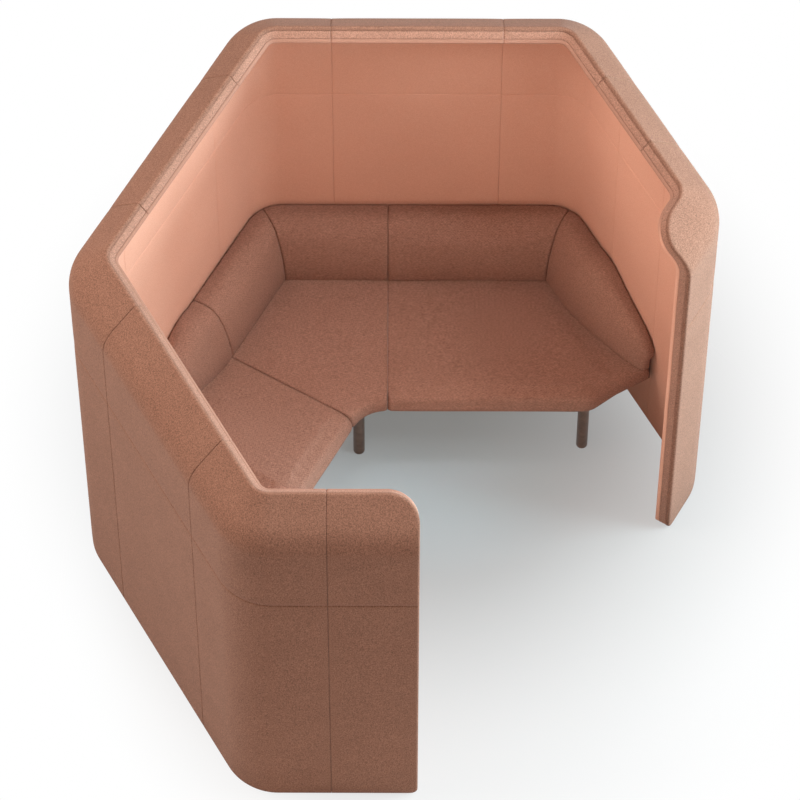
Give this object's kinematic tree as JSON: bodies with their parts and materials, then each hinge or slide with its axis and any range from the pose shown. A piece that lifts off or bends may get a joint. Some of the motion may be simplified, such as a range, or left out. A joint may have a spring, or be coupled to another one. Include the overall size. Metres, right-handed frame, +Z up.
{
  "type": "acoustic seating pod",
  "caption": "Hexagonal high-wall seating pod with inward-bent padded walls, a doorway gap and an upholstered corner bench on round metal legs.",
  "frame": {"origin": "on the floor under the middle of the plan box", "axes": "+Z up, +Y from the front wall to the back wall, +X towards the wing beside the doorway"},
  "size_m": [2.225, 2.1132, 2],
  "materials": {
    "outer_felt": "mottled wool felt",
    "core_felt": "board with a felt-wrapped edge",
    "lining_fabric": "smooth fine-woven",
    "bench_fabric": "fine woven over foam",
    "plywood": "birch plywood",
    "bronze_metal": "satin dark bronze",
    "black_nylon": "matte",
    "dowel_wood": "beech",
    "zinc_steel": "zinc plated"
  },
  "bodies": {
    "pod": {"back_board_screws": "zinc_steel", "back_core": "core_felt", "back_left_corner_core": "core_felt", "back_left_corner_lining": "lining_fabric", "back_left_corner_shell": "outer_felt", "back_lining": "lining_fabric", "back_right_corner_core": "core_felt", "back_right_corner_lining": "lining_fabric", "back_right_corner_shell": "outer_felt", "back_shell": "outer_felt", "bench_legs": "bronze_metal", "board_screws": "zinc_steel", "corner_back_backrest": "bench_fabric", "corner_back_backrest_board": "plywood", "corner_left_backrest": "bench_fabric", "corner_left_backrest_board": "plywood", "corner_seat_board": "plywood", "corner_seat_cushion": "bench_fabric", "front_end_core": "core_felt", "front_end_lining": "lining_fabric", "front_end_shell": "outer_felt", "front_left_corner_core": "core_felt", "front_left_corner_lining": "lining_fabric", "front_left_corner_shell": "outer_felt", "left_back_core": "core_felt", "left_back_lining": "lining_fabric", "left_back_shell": "outer_felt", "left_backrest": "bench_fabric", "left_backrest_board": "plywood", "left_corner_core": "core_felt", "left_corner_lining": "lining_fabric", "left_corner_shell": "outer_felt", "left_front_core": "core_felt", "left_front_lining": "lining_fabric", "left_front_shell": "outer_felt", "left_seat_board": "plywood", "left_seat_cushion": "bench_fabric", "panel_dowels": "dowel_wood", "right_back_backrest": "bench_fabric", "right_back_backrest_board": "plywood", "right_back_core": "core_felt", "right_back_lining": "lining_fabric", "right_back_shell": "outer_felt", "right_backrest": "bench_fabric", "right_backrest_board": "plywood", "right_corner_core": "core_felt", "right_corner_lining": "lining_fabric", "right_corner_shell": "outer_felt", "right_seat_board": "plywood", "right_seat_cushion": "bench_fabric", "seat_link_plates": "zinc_steel", "wall_bolts": "zinc_steel", "wall_glides": "black_nylon", "wall_spacers": "zinc_steel"},
    "left_front_foot": {"left_front_glide": "black_nylon"},
    "left_rear_foot": {"left_rear_glide": "black_nylon"},
    "corner_front_foot": {"corner_front_glide": "black_nylon"},
    "corner_rear_foot": {"corner_rear_glide": "black_nylon"},
    "right_front_foot": {"right_front_glide": "black_nylon"},
    "right_rear_foot": {"right_rear_glide": "black_nylon"}
  },
  "joints": [
    {"name": "left_front_levelling", "type": "slide", "parent": "pod", "child": "left_front_foot", "axis": [0, 0, -1], "range_m": [0, 0.01]},
    {"name": "left_rear_levelling", "type": "slide", "parent": "pod", "child": "left_rear_foot", "axis": [0, 0, -1], "range_m": [0, 0.01]},
    {"name": "corner_front_levelling", "type": "slide", "parent": "pod", "child": "corner_front_foot", "axis": [0, 0, -1], "range_m": [0, 0.01]},
    {"name": "corner_rear_levelling", "type": "slide", "parent": "pod", "child": "corner_rear_foot", "axis": [0, 0, -1], "range_m": [0, 0.01]},
    {"name": "right_front_levelling", "type": "slide", "parent": "pod", "child": "right_front_foot", "axis": [0, 0, -1], "range_m": [0, 0.01]},
    {"name": "right_rear_levelling", "type": "slide", "parent": "pod", "child": "right_rear_foot", "axis": [0, 0, -1], "range_m": [0, 0.01]}
  ]
}
